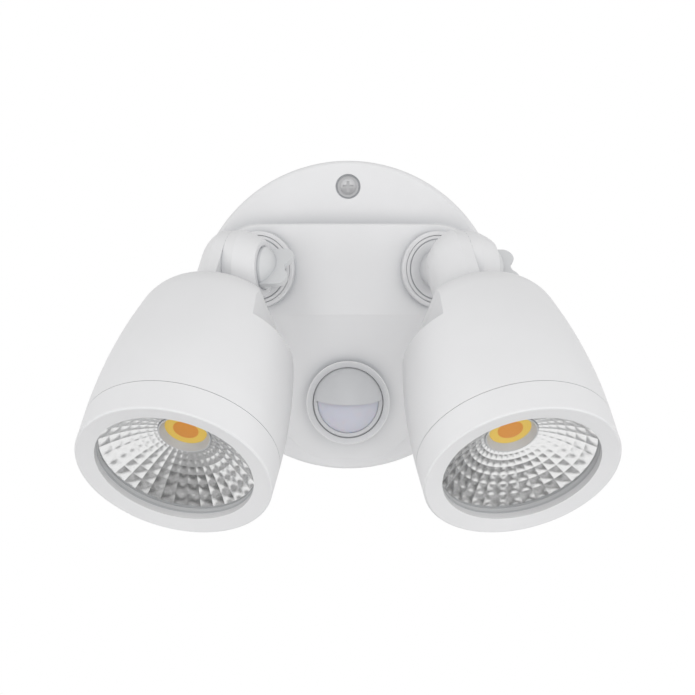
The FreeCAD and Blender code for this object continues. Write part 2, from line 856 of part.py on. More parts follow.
def make_sensor():
    place = front_frame(0, sensor_level, s.sensor_depth)
    ball = s.ball_radius
    rim = s.ball_rim
    rear = s.ball_rear
    rim_radius = root(ball * ball - rim * rim)
    rear_radius = root(ball * ball - rear * rear)
    body = new_body("ball")
    revolve(body, [
        (s.ball_throat, -rear), (rear_radius, -rear, ball), (ball, zero, ball), (rim_radius, rim),
        (s.ball_bore, rim), (s.ball_bore, -s.ball_ledge), (s.ball_throat, -s.ball_ledge),
    ])
    pocket(body, "YZ_Plane", [("circle", 0, 0, s.sensor_pin_radius + s.running_gap)], ball * 3, midplane=True)
    keep(body, "sensor_ball", place)
    skirt = s.ball_bore - 0.1
    shoulder = rim - 0.5
    crown = s.lens_crown
    dome = dome_radius(skirt, crown - shoulder)
    wall = s.lens_wall
    inner_dome = dome_radius(skirt - wall, crown - wall - shoulder)
    turned("fresnel_lens", [
        (skirt - wall, shoulder - s.lens_skirt), (skirt, shoulder - s.lens_skirt), (skirt, shoulder, dome),
        (zero, crown), (zero, crown - wall, -inner_dome), (skirt - wall, shoulder),
    ], place)
    hood = new_body("hood_shell")
    inner = s.hood_inner
    foot = root(inner * inner - rim * rim)
    revolve(hood, [(foot, rim), (rim_radius, rim, ball), (zero, ball), (zero, inner, -inner)])
    low = -ball * 2
    angle = tangent(s.hood_tilt)
    # the lip runs from hood_rise above the middle at the ball's centre down to the front
    pocket(hood, "YZ_Plane", [[
        (s.hood_rise, zero), (s.hood_rise - ball * 1.2 * angle, ball * 1.2), (low, ball * 1.2), (low, zero),
    ]], ball * 3, midplane=True)
    keep(hood, "sensor_hood", place)
    pins = []
    for side, word in ((-1, "left"), (1, "right")):
        where = FreeCAD.Placement(vector(side * s.sensor_pin_inner, -s.sensor_depth, sensor_level),
                                  turn(Y_AXIS, side * 90))
        length = s.sensor_collar_radius - s.sensor_pin_inner
        pins.append(cylinder(f"{word}_sensor_pin", s.sensor_pin_radius, length, where))
    keep(group("sensor_pins", pins), "sensor_pivot_pins")
    base = -s.ball_ledge
    top = base + s.circuit_thickness
    turned("detector_board", [
        (zero, base), (s.ball_bore - 0.3, base), (s.ball_bore - 0.3, top), (zero, top),
    ], place)
    turned("pir_detector", [
        (zero, top), (s.detector_radius, top), (s.detector_radius, top + s.detector_height),
        (zero, top + s.detector_height),
    ], place)


def dome_radius(half, rise):
    return (half * half + rise * rise) / (2 * rise)


# ---- swivel arms and lamp heads --------------------------------------------------------------

def make_arm(side, word):
    frame = arm_frame(side)
    floor = -s.knuckle_height
    seat = floor + s.seat_gap
    top = floor + s.flange_thickness
    chamfer = s.flange_chamfer
    groove_radius = s.flange_groove_radius
    tail = floor - s.seat_thickness - s.seat_gap - s.nut_thickness - 1
    seal_inner = s.seal_radius - s.seal_width
    seal_top = seat + s.seal_depth
    arm = new_body(f"{word}_arm")
    revolve(arm, [
        (s.stem_bore, tail), (s.stem_radius, tail), (s.stem_radius, seat),
        (seal_inner, seat), (seal_inner, seal_top), (s.seal_radius, seal_top), (s.seal_radius, seat),
        (s.flange_radius, seat), (s.flange_radius, top - chamfer), (s.flange_radius - chamfer, top),
        (groove_radius, top), (groove_radius, top - s.flange_groove_depth),
        (groove_radius - s.flange_groove_width, top - s.flange_groove_depth),
        (groove_radius - s.flange_groove_width, top), (s.neck_radius, top), (s.neck_radius, zero),
        (s.stem_bore, zero),
    ])
    floor_level = s.barrel_length - s.recess_depth
    bore = s.stud_radius + s.running_gap
    revolve(arm, [
        (zero, bore), (zero, s.barrel_radius), (s.barrel_rim, s.barrel_radius, -s.barrel_round),
        (s.barrel_length, s.barrel_end), (s.barrel_length, s.recess_radius),
        (floor_level, s.recess_radius), (floor_level, bore),
    ], "H_Axis")
    clear = s.barrel_radius + s.sweep_gap
    wide = s.neck_radius * 2
    groove(arm, [(-wide, zero), (zero, zero), (zero, clear), (-wide, clear)], "H_Axis")
    groove(arm, [(zero, zero), (floor_level + 1, zero), (floor_level + 1, bore), (zero, bore)], "H_Axis")
    keep(arm, f"{word}_swivel_arm", frame)
    nut_top = floor - s.seat_thickness - s.seat_gap
    turned(f"{word}_swivel_nut", [
        (s.stem_radius, nut_top - s.nut_thickness), (s.nut_radius, nut_top - s.nut_thickness),
        (s.nut_radius, nut_top), (s.stem_radius, nut_top),
    ], frame)
    turned(f"{word}_swivel_seal", [
        (seal_inner, seat), (s.seal_radius, seat), (s.seal_radius, seal_top), (seal_inner, seal_top),
    ], frame)


def make_knob(side, word):
    frame = head_frame(side)
    seat = s.barrel_length - s.recess_depth + s.seat_gap
    bore = s.stud_radius + s.running_gap
    knob = new_body(f"{word}_knob")
    revolve(knob, [
        (seat, zero), (seat, s.knob_radius), (s.knob_face, s.knob_radius, -s.knob_dome),
        (s.knob_crown, zero),
    ], "H_Axis")
    half = s.wing_half
    root_level = s.wing_root
    reach = s.wing_lobe_reach
    lobe = s.wing_lobe
    diagonal = math.sqrt(0.5)
    tip = reach + lobe * diagonal
    inner = half - lobe - lobe * diagonal
    pad(knob, "XZ_Plane", [[
        (root_level, -half), (reach, -half, lobe), (tip, -inner, -s.wing_notch), (tip, inner, lobe),
        (reach, half), (root_level, half),
    ]], s.wing_thickness, midplane=True)
    groove(knob, [
        (seat - 1, zero), (s.stud_reach + 0.5, zero), (s.stud_reach + 0.5, bore), (seat - 1, bore),
    ], "H_Axis")
    keep(knob, f"{word}_wing_knob", frame)
    turned(f"{word}_pivot_stud", [
        (-s.stud_seat, zero), (-s.stud_seat, s.stud_radius), (s.stud_reach, s.stud_radius),
        (s.stud_reach, zero),
    ], frame, "H_Axis")


def make_housing(side, word):
    head = new_body(f"{word}_head")
    small = s.head_rear_round
    big = s.head_side_round
    centre_level = s.head_rear + small
    centre_radius = s.head_radius - big + root(
        (big - small) * (big - small) - (s.head_seam - centre_level) * (s.head_seam - centre_level))
    share = big / (big - small)
    touch_level = s.head_seam - (s.head_seam - centre_level) * share
    touch_radius = (s.head_radius - big) + (centre_radius - (s.head_radius - big)) * share
    revolve(head, [
        (zero, s.head_rear), (centre_radius, s.head_rear, small), (touch_radius, touch_level, big),
        (s.head_radius, s.head_seam), (spigot_radius, s.head_seam), (spigot_radius, s.spigot_end),
        (pocket_radius, s.spigot_end), (pocket_radius, s.ledge_level),
        (ledge_radius, s.ledge_level), (ledge_radius, s.ledge_level - s.ledge_thickness),
        (hollow_radius, s.ledge_level - s.ledge_thickness * 1.5), (hollow_radius, s.hollow_level),
        (s.hollow_neck, s.hollow_neck_level), (s.hollow_end, s.hollow_end_level),
        (zero, s.hollow_end_level),
    ])
    lean = (s.flat_front - s.flat_rear) / (s.shoulder_level - s.flat_rear_level)
    corner_level = s.head_rear + s.flat_round
    corner = s.flat_rear + lean * (corner_level - s.flat_rear_level)
    beyond = s.head_radius + s.flat_overrun
    below = s.head_rear - s.flat_overrun
    cuts = []
    for sign in (-1, 1):
        outline = [
            (sign * s.flat_front, s.shoulder_level), (sign * beyond, s.shoulder_level),
            (sign * beyond, below), (sign * (corner - s.flat_round), below),
            (sign * (corner - s.flat_round), s.head_rear, sign * s.flat_round),
            (sign * corner, corner_level),
        ]
        cuts.append(outline)
    pocket(head, "XZ_Plane", cuts, 4 * s.head_radius, midplane=True)
    face = -s.ear_gap
    rim = -s.ear_rim
    end = -s.ear_length
    wide = s.barrel_radius
    dome = dome_radius(wide, s.ear_length - s.ear_rim)
    section = [(face, -wide), (face, wide), (rim, wide, dome), (rim, -wide)]
    pad(head, "XY_Plane", [section], s.head_rear + s.arm_overlap)
    revolve(head, [(face, zero), (face, wide), (rim, wide, dome), (end, zero)], "H_Axis")
    groove(head, [(1, zero), (1, s.stud_radius), (-s.stud_seat, s.stud_radius), (-s.stud_seat, zero)],
           "H_Axis")
    holes = [("circle", x, y, s.small_screw_radius) for x, y in plate_screw_places()]
    depth = s.small_screw_length - s.heat_plate_thickness
    pocket(head, "XY_Plane", holes, depth, offset=s.ledge_level)
    keep(head, f"{word}_head_housing", head_frame(side))


def plate_screw_places():
    places = []
    for number in range(3):
        angle = math.radians(90 + 120 * number)
        places.append((plate_screw_circle * math.cos(angle), plate_screw_circle * math.sin(angle)))
    return places


def make_optics(side, word):
    frame = head_frame(side)
    back = s.head_seam + s.bezel_seam
    front = s.bezel_front
    edge = s.bezel_edge
    turned(f"{word}_bezel", [
        (spigot_radius, back), (s.head_radius, back), (s.head_radius, front - edge, edge),
        (s.head_radius - edge, front), (bezel_opening, s.bezel_lip),
        (bezel_opening, s.lens_gasket_front), (spigot_radius, s.lens_gasket_front),
    ], frame)
    inner = lens_gasket_opening
    lip = glass_radius
    glass_front = s.glass_back + s.glass_thickness
    turned(f"{word}_lens_gasket", [
        (inner, s.reflector_front), (spigot_radius, s.reflector_front),
        (spigot_radius, s.lens_gasket_front), (inner, s.lens_gasket_front), (inner, glass_front),
        (lip, glass_front), (lip, s.glass_back), (inner, s.glass_back),
    ], frame)
    turned(f"{word}_front_glass", [
        (zero, s.glass_back), (lip, s.glass_back), (lip, glass_front), (zero, glass_front),
    ], frame)
    wall = s.reflector_wall
    bowl = s.reflector_round
    turned(f"{word}_reflector", [
        (s.reflector_neck, s.reflector_back, bowl), (reflector_rim, s.reflector_front),
        (spigot_radius, s.reflector_front), (spigot_radius, s.spigot_end),
        (reflector_rim + wall, s.spigot_end, -bowl), (s.reflector_neck, s.reflector_back - wall),
    ], frame)
    plate_top = s.ledge_level + s.heat_plate_thickness
    plate = new_body(f"{word}_plate")
    revolve(plate, [
        (zero, s.ledge_level), (pocket_radius, s.ledge_level), (pocket_radius, plate_top),
        (zero, plate_top),
    ])
    holes = [("circle", x, y, s.small_screw_radius) for x, y in plate_screw_places()]
    pocket(plate, "XY_Plane", holes, s.heat_plate_thickness * 4, offset=plate_top, midplane=True)
    keep(plate, f"{word}_heat_plate", frame)
    screws = []
    for number, (x, y) in enumerate(plate_screw_places(), start=1):
        shank = cylinder(f"{word}_shank_{number}", s.small_screw_radius, s.small_screw_length,
                         lifted(x, y, plate_top - s.small_screw_length))
        cap = cylinder(f"{word}_cap_{number}", s.small_head_radius, s.small_head_height,
                       lifted(x, y, plate_top))
        screws.append(join(f"{word}_plate_screw_{number}", [shank, cap]))
    keep(group(f"{word}_screws", screws), f"{word}_plate_screws", frame)
    chip_top = plate_top + s.chip_thickness
    light_top = chip_top + s.emitter_thickness
    turned(f"{word}_led_chip", [
        (zero, plate_top), (s.chip_radius, plate_top), (s.chip_radius, chip_top),
        (s.emitter_radius, chip_top), (s.emitter_radius, light_top), (zero, light_top),
    ], frame)
    turned(f"{word}_led_holder", [
        (s.chip_radius, plate_top), (s.holder_radius, plate_top),
        (s.holder_radius, s.reflector_back - wall - 0.3),
        (s.reflector_neck - 0.2, s.reflector_back - wall - 0.3), (s.reflector_neck - 0.2, s.holder_top),
        (s.holder_mouth, s.holder_top), (s.chip_radius, chip_top),
    ], frame)


def check_model():
    for item in doc.Objects:
        if "Invalid" in item.State or "Error" in item.State:
            raise RuntimeError(f"{item.Name} failed: {item.State}")
    for item in nodes:
        if item.Shape.isNull() or not item.Shape.isValid():
            raise RuntimeError(f"{item.Label} has no valid shape")


make_base()
make_wall_parts()
make_rear_cover()
make_electronics()
make_sensor()
for side, word in ((-1, "left"), (1, "right")):
    make_arm(side, word)
    make_knob(side, word)
    make_housing(side, word)
    make_optics(side, word)
doc.recompute()
check_model()
os.makedirs("parts", exist_ok=True)
for item in nodes:
    item.Shape.exportStep(f"parts/{item.Label}.step")
    print(item.Label, "volume", round(item.Shape.Volume), "solids", len(item.Shape.Solids))
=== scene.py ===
import json
import math

import bpy
from mathutils import Matrix, Vector


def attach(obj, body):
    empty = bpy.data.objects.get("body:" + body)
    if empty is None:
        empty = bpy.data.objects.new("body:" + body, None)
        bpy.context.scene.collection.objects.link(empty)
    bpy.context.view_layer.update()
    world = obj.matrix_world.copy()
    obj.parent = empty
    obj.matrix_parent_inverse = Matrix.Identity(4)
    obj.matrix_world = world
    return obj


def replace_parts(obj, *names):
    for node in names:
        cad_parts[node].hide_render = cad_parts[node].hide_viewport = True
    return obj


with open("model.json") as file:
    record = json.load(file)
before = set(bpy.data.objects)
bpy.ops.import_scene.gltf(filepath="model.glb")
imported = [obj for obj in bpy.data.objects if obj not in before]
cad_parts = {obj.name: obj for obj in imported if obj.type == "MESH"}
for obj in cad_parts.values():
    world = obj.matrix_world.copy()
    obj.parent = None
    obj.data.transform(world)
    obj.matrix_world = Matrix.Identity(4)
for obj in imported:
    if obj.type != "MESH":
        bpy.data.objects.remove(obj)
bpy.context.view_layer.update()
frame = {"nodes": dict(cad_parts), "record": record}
scene = bpy.context.scene

# Twin-head security light on a round wall base. Metres, +Z up, the wall is y = 0 and the light faces -Y.


def mm(value):
    return value / 1000


def linear(hexColour, alpha=1.0):
    # sRGB hex to the linear values that a shader takes
    parts = [int(hexColour[i:i + 2], 16) / 255 for i in (1, 3, 5)]
    return [p / 12.92 if p <= 0.04045 else ((p + 0.055) / 1.055) ** 2.4 for p in parts] + [alpha]


def addNode(tree, kind, settings=None, links=None):
    # adds a node; settings are properties or input values, links are (socket, source) pairs
    node = tree.nodes.new(kind)
    for name, value in (settings or {}).items():
        if isinstance(name, str) and hasattr(node, name):
            setattr(node, name, value)
        else:
            node.inputs[name].default_value = value
    for socket, source in (links or {}).items():
        tree.links.new(source, node.inputs[socket])
    return node


def math2(tree, operation, first, second=None):
    # one math node; numbers become its values and sockets become links
    settings = {"operation": operation}
    links = {}
    for index, value in enumerate((first, second)):
        if value is None:
            continue
        if isinstance(value, (int, float)):
            settings[index] = value
        else:
            links[index] = value
    return addNode(tree, "ShaderNodeMath", settings, links).outputs[0]


def newMaterial(name):
    material = bpy.data.materials.new(name)
    material.use_nodes = True
    material.node_tree.nodes.clear()
    return material, material.node_tree


def endMaterial(tree, shader):
    output = addNode(tree, "ShaderNodeOutputMaterial")
    tree.links.new(shader.outputs[0], output.inputs["Surface"])


lampPlace = {
    "bossAcross": mm(48.2),    # where the swivel axis meets the base, from the middle of the wall plate
    "bossDepth": mm(33.0),     # in front of the wall
    "bossLevel": mm(24.4),     # above the middle of the wall plate
    "bossTurn": 19.2,          # degrees that the swivel axis leans outwards
    "knuckleReach": mm(37.5),  # along the swivel axis to the tilt axis
    "headTilt": 50.2,          # degrees from the swivel axis to the head's own axis
}


def armPlace(side):
    # the swivel arm's own frame: X along the tilt axis, origin in the middle of the knuckle
    boss = Matrix.Translation(Vector((side * lampPlace["bossAcross"], -lampPlace["bossDepth"],
                                      lampPlace["bossLevel"])))
    lean = Matrix.Rotation(math.radians(lampPlace["bossTurn"] * side), 4, "Z")
    outwards = Matrix.Rotation(math.radians(90), 4, "X")
    return boss @ lean @ outwards @ Matrix.Translation(Vector((0, 0, lampPlace["knuckleReach"])))


def headPlace(side):
    # the lamp head's own frame: X along the tilt axis, Z along the head towards its front
    return armPlace(side) @ Matrix.Rotation(math.radians(lampPlace["headTilt"]), 4, "X")


finishes = {
    "coatWhite": "#E2E2E3",
    "coatShade": "#DDDDDE",
    # painted shade: the grey given to the powder coat's inner corners
    "coatPaintedShade": "#BDBFC2",
    "knobWhite": "#D6D7D8",
    "knobShade": "#D1D2D3",
    "plasticWhite": "#CBCCCE",
    "plasticGrey": "#B9BABC",
    "bakelite": "#2B2A2A",
    "lensMilk": "#CDCDD8",
    "gasketGrey": "#B2B4B7",
    "frit": "#C2C4C6",
    "steel": "#B9BBBD",
    "stainless": "#DEDEDF",
    "milled": "#C9CACC",
    "ledYellow": "#F8D15E",
    "ledOrange": "#EE9D3A",
    "mirror": "#F2F2F2",
}


# settings for the painted shade in inner corners
paintedCornerSettings = {
    "reach": mm(10),       # how far the painted corner shade reaches out
    "closed": 0.25,        # share of open sky at which the painted shade is full
    "open": 0.92,          # and at which it's gone
    "samples": 6,
}


def paintedCornerShade(tree, colour):
    # painted shade: the colour turns grey where ambient occlusion finds an inner corner, standing in for the
    # shade that falls there
    near = addNode(tree, "ShaderNodeAmbientOcclusion",
                   {"samples": paintedCornerSettings["samples"], "Distance": paintedCornerSettings["reach"]})
    share = addNode(tree, "ShaderNodeMapRange",
                    {"From Min": paintedCornerSettings["closed"], "From Max": paintedCornerSettings["open"]},
                    {0: near.outputs["AO"]})
    return addNode(tree, "ShaderNodeMix", {"data_type": "RGBA", 6: linear(finishes["coatPaintedShade"])},
                   {0: share.outputs[0], 7: colour}).outputs[2]


powder = {
    "cloudSize": mm(30),      # patches of uneven tint on a casting
    "cloudDetail": 2.0,
    "peelDetail": 3.0,
    "peelFineness": 0.6,      # how much the finest bumps count
    "peelDepth": mm(0.05),
    "peelStrength": 0.12,
    "roughnessLess": 0.04,    # how far the gloss wanders below and above its middle
    "roughnessMore": 0.05,
    "refraction": 1.5,
}


def powderCoat(name, colour, shade, grain=0.9, roughness=0.42):
    # satin polyester powder coat on die-cast aluminium: soft wide highlights and a faint orange peel
    material, tree = newMaterial(name)
    where = addNode(tree, "ShaderNodeTexCoord")
    cloud = addNode(tree, "ShaderNodeTexNoise",
                    {"Scale": 1 / powder["cloudSize"], "Detail": powder["cloudDetail"]},
                    {"Vector": where.outputs["Object"]})
    tint = addNode(tree, "ShaderNodeMix", {"data_type": "RGBA", 6: linear(colour), 7: linear(shade)},
                   {0: cloud.outputs[0]})
    peel = addNode(tree, "ShaderNodeTexNoise",
                   {"Scale": 1 / mm(grain), "Detail": powder["peelDetail"],
                    "Roughness": powder["peelFineness"]},
                   {"Vector": where.outputs["Object"]})
    bump = addNode(tree, "ShaderNodeBump",
                   {"Strength": powder["peelStrength"], "Distance": powder["peelDepth"]},
                   {"Height": peel.outputs[0]})
    rough = addNode(tree, "ShaderNodeMapRange", {"To Min": roughness - powder["roughnessLess"],
                                                 "To Max": roughness + powder["roughnessMore"]},
                    {0: peel.outputs[0]})
    # the base colour carries painted shade in inner corners
    shader = addNode(tree, "ShaderNodeBsdfPrincipled", {"IOR": powder["refraction"]},
                     {"Base Color": paintedCornerShade(tree, tint.outputs[2]),
                      "Roughness": rough.outputs[0], "Normal": bump.outputs[0]})
    endMaterial(tree, shader)
    return material


moulding = {
    "detail": 2.0,
    "depth": mm(0.04),
    "roughnessLess": 0.03,
    "roughnessMore": 0.04,
    "refraction": 1.49,
    "scatterReach": mm(1.5),  # how far light wanders inside the milky lens
}


def mouldedPlastic(name, colour, roughness, grain=0.35, strength=0.08, subsurface=0.0):
    # moulded plastic: an even colour with a fine spark-eroded texture
    material, tree = newMaterial(name)
    where = addNode(tree, "ShaderNodeTexCoord")
    texture = addNode(tree, "ShaderNodeTexNoise", {"Scale": 1 / mm(grain), "Detail": moulding["detail"]},
                      {"Vector": where.outputs["Object"]})
    bump = addNode(tree, "ShaderNodeBump", {"Strength": strength, "Distance": moulding["depth"]},
                   {"Height": texture.outputs[0]})
    rough = addNode(tree, "ShaderNodeMapRange", {"To Min": roughness - moulding["roughnessLess"],
                                                 "To Max": roughness + moulding["roughnessMore"]},
                    {0: texture.outputs[0]})
    shader = addNode(tree, "ShaderNodeBsdfPrincipled",
                     {"Base Color": linear(colour), "IOR": moulding["refraction"],
                      "Subsurface Weight": subsurface, "Subsurface Scale": moulding["scatterReach"]},
                     {"Roughness": rough.outputs[0], "Normal": bump.outputs[0]})
    endMaterial(tree, shader)
    return material


toolMarks = {
    "detail": 3.0,
    "depth": mm(0.03),
    "strength": 0.1,
    "roughnessLess": 0.05,
    "roughnessMore": 0.08,
}


def metal(name, colour, roughness, stretch=(1, 1, 1), grain=0.3):
    # bare metal: its colour is in the reflection, and the tool marks widen the highlight
    material, tree = newMaterial(name)
    where = addNode(tree, "ShaderNodeTexCoord")
    turned = addNode(tree, "ShaderNodeMapping", {"Scale": stretch}, {"Vector": where.outputs["Object"]})
    marks = addNode(tree, "ShaderNodeTexNoise", {"Scale": 1 / mm(grain), "Detail": toolMarks["detail"]},
                    {"Vector": turned.outputs[0]})
    bump = addNode(tree, "ShaderNodeBump",
                   {"Strength": toolMarks["strength"], "Distance": toolMarks["depth"]},
                   {"Height": marks.outputs[0]})
    rough = addNode(tree, "ShaderNodeMapRange", {"To Min": roughness - toolMarks["roughnessLess"],
                                                 "To Max": roughness + toolMarks["roughnessMore"]},
                    {0: marks.outputs[0]})
    shader = addNode(tree, "ShaderNodeBsdfPrincipled", {"Base Color": linear(colour), "Metallic": 1.0},
                     {"Roughness": rough.outputs[0], "Normal": bump.outputs[0]})
    endMaterial(tree, shader)
    return material


pane = {
    "tint": "#FEFEFE",
    "waveLength": mm(40),
    "waveDetail": 1.0,
    "waveDepth": mm(0.1),
    "waveStrength": 0.02,
    "roughness": 0.02,
    "refraction": 1.22,      # lower than glass has, which keeps the reflection faint
}


def clearGlass(name):
    # tempered float glass: nearly invisible face on, a faint reflection at a slant
    material, tree = newMaterial(name)
    where = addNode(tree, "ShaderNodeTexCoord")
    wave = addNode(tree, "ShaderNodeTexNoise",
                   {"Scale": 1 / pane["waveLength"], "Detail": pane["waveDetail"]},
                   {"Vector": where.outputs["Object"]})
    bump = addNode(tree, "ShaderNodeBump", {"Strength": pane["waveStrength"], "Distance": pane["waveDepth"]},
                   {"Height": wave.outputs[0]})
    through = addNode(tree, "ShaderNodeBsdfTransparent", {"Color": linear(pane["tint"])})
    gloss = addNode(tree, "ShaderNodeBsdfGlossy", {"Roughness": pane["roughness"]},
                    {"Normal": bump.outputs[0]})
    edge = addNode(tree, "ShaderNodeFresnel", {"IOR": pane["refraction"]})
    facing = addNode(tree, "ShaderNodeNewGeometry")
    front = math2(tree, "SUBTRACT", 1.0, facing.outputs["Backfacing"])   # no mirror on the way out
    shader = addNode(tree, "ShaderNodeMixShader", None,
                     {0: math2(tree, "MULTIPLY", edge.outputs[0], front),
                      1: through.outputs[0], 2: gloss.outputs[0]})
    endMaterial(tree, shader)
    return material


board = {
    "mask": "#1E5A33",
    "maskWorn": "#236B3C",
    "tracks": "#3C8A55",
    "trackSpacing": mm(9),
    "roughness": 0.35,
}


def circuitBoard(name):
    # glass-epoxy board under green solder mask, with the copper tracks just showing
    material, tree = newMaterial(name)
    where = addNode(tree, "ShaderNodeTexCoord")
    tracks = addNode(tree, "ShaderNodeTexBrick",
                     {"Scale": 1 / board["trackSpacing"], "Color1": linear(board["mask"]),
                      "Color2": linear(board["maskWorn"]), "Mortar": linear(board["tracks"])},
                     {"Vector": where.outputs["Object"]})
    shader = addNode(tree, "ShaderNodeBsdfPrincipled", {"Roughness": board["roughness"]},
                     {"Base Color": tracks.outputs[0]})
    endMaterial(tree, shader)
    return material


coat = powderCoat("PowderCoatWhite", finishes["coatWhite"], finishes["coatShade"])
knobCoat = powderCoat("PowderCoatKnob", finishes["knobWhite"], finishes["knobShade"],
                      grain=0.7, roughness=0.38)
housingPlastic = mouldedPlastic("AsaWhite", finishes["plasticWhite"], roughness=0.38)
lensPlastic = mouldedPlastic("PolyethyleneLens", finishes["lensMilk"], roughness=0.34, grain=0.6,
                             strength=0.05, subsurface=0.25)
rubberGrey = mouldedPlastic("SiliconeGrey", finishes["gasketGrey"], roughness=0.55, grain=0.5, strength=0.15)
enamelGrey = mouldedPlastic("CeramicFrit", finishes["frit"], roughness=0.4, grain=0.5, strength=0.05)
greyPlastic = mouldedPlastic("PolycarbonateGrey", finishes["plasticGrey"], roughness=0.5)
darkPlastic = mouldedPlastic("BakeliteBlack", finishes["bakelite"], roughness=0.45)
zincSteel = metal("ZincPlatedSteel", finishes["steel"], roughness=0.35)
stainless = metal("StainlessSteel", finishes["stainless"], roughness=0.55)
milledAluminium = metal("MilledAluminium", finishes["milled"], roughness=0.4, stretch=(1, 12, 1))
mirrorCoat = metal("VacuumMetallised", finishes["mirror"], roughness=0.2, grain=2.0)
ledYellow = mouldedPlastic("PhosphorYellow", finishes["ledYellow"], roughness=0.55, grain=0.25, strength=0.1)
ledOrange = mouldedPlastic("PhosphorOrange", finishes["ledOrange"], roughness=0.45, grain=0.2, strength=0.1)
glassClear = clearGlass("TemperedGlass")
boardGreen = circuitBoard("SolderMask")

nodeFinish = {
    "white_paint": coat,
    "white_paint_knob": knobCoat,
    "white_plastic": housingPlastic,
    "rubber": rubberGrey,
    "zinc_steel": zincSteel,
    "stainless": stainless,
    "grey_plastic": greyPlastic,
    "circuit_board": boardGreen,
    "core": darkPlastic,
    "capacitor": darkPlastic,
    "detector_can": stainless,
    "lens_plastic": lensPlastic,
    "glass": glassClear,
    "reflector": mirrorCoat,
    "led_yellow": ledYellow,
    "bare_aluminium": milledAluminium,
}

for part in frame["record"]["subparts"]:
    node = frame["nodes"][part["node"]]
    finish = nodeFinish[part["material_slot"]]
    if not node.material_slots:
        node.data.materials.append(finish)
    for slot in node.material_slots:
        slot.material = finish
print("CAD nodes finished:", len(frame["nodes"]))


def newTree(name, values):
    # one input for each value, which is also its default
    tree = bpy.data.node_groups.new(name, "GeometryNodeTree")
    tree.interface.new_socket(name="Geometry", in_out="OUTPUT", socket_type="NodeSocketGeometry")
    for label, value in values.items():
        kind = "NodeSocketInt" if isinstance(value, int) else "NodeSocketFloat"
        socket = tree.interface.new_socket(name=label, in_out="INPUT", socket_type=kind)
        socket.default_value = value
    return tree, addNode(tree, "NodeGroupInput").outputs


def closeTree(tree, geometry, material):
    real = addNode(tree, "GeometryNodeRealizeInstances", None, {0: geometry})
    painted = addNode(tree, "GeometryNodeSetMaterial", {"Material": material}, {0: real.outputs[0]})
    addNode(tree, "NodeGroupOutput", None, {0: painted.outputs[0]})


def runTree(tree, name, values, matrix):
    # runs the tree on an empty mesh and keeps the result as a plain mesh, put in its place
    holder = bpy.data.objects.new(name + "Holder", bpy.data.meshes.new(name + "Holder"))
    scene.collection.objects.link(holder)
    modifier = holder.modifiers.new("build", "NODES")
    modifier.node_group = tree
    sockets = {item.name: item.identifier for item in tree.interface.items_tree
               if item.item_type == "SOCKET" and item.in_out == "INPUT"}
    for label, value in values.items():
        modifier[sockets[label]] = value
    bpy.context.view_layer.update()
    shown = holder.evaluated_get(bpy.context.evaluated_depsgraph_get())
    mesh = bpy.data.meshes.new_from_object(shown)
    holder.modifiers.remove(modifier)
    bpy.data.objects.remove(holder)
    mesh.transform(matrix)
    mesh.name = name
    piece = bpy.data.objects.new(name, mesh)
    scene.collection.objects.link(piece)
    return piece


reflector = {
    "rimRadius": mm(41.9),
    "neckRadius": mm(14.0),
    "rimLevel": mm(128.6),
    "neckLevel": mm(113.7),
    "columns": 36,
    "rows": 7,
    "steps": 5,          # faces along a facet
    "bulge": mm(0.5),    # how far each facet's middle stands in
    "crowding": 1.3,     # makes the rows nearest the light source narrower
    "liftAtNeck": 0.3,   # share of the bulge that the innermost facets have
    "liftAlong": 0.85,   # shares of the lift that go towards the front and towards the axis
    "liftInwards": 0.5,
    "nearBorder": 0.01,  # in facets: an edge this near to a border belongs to it
}


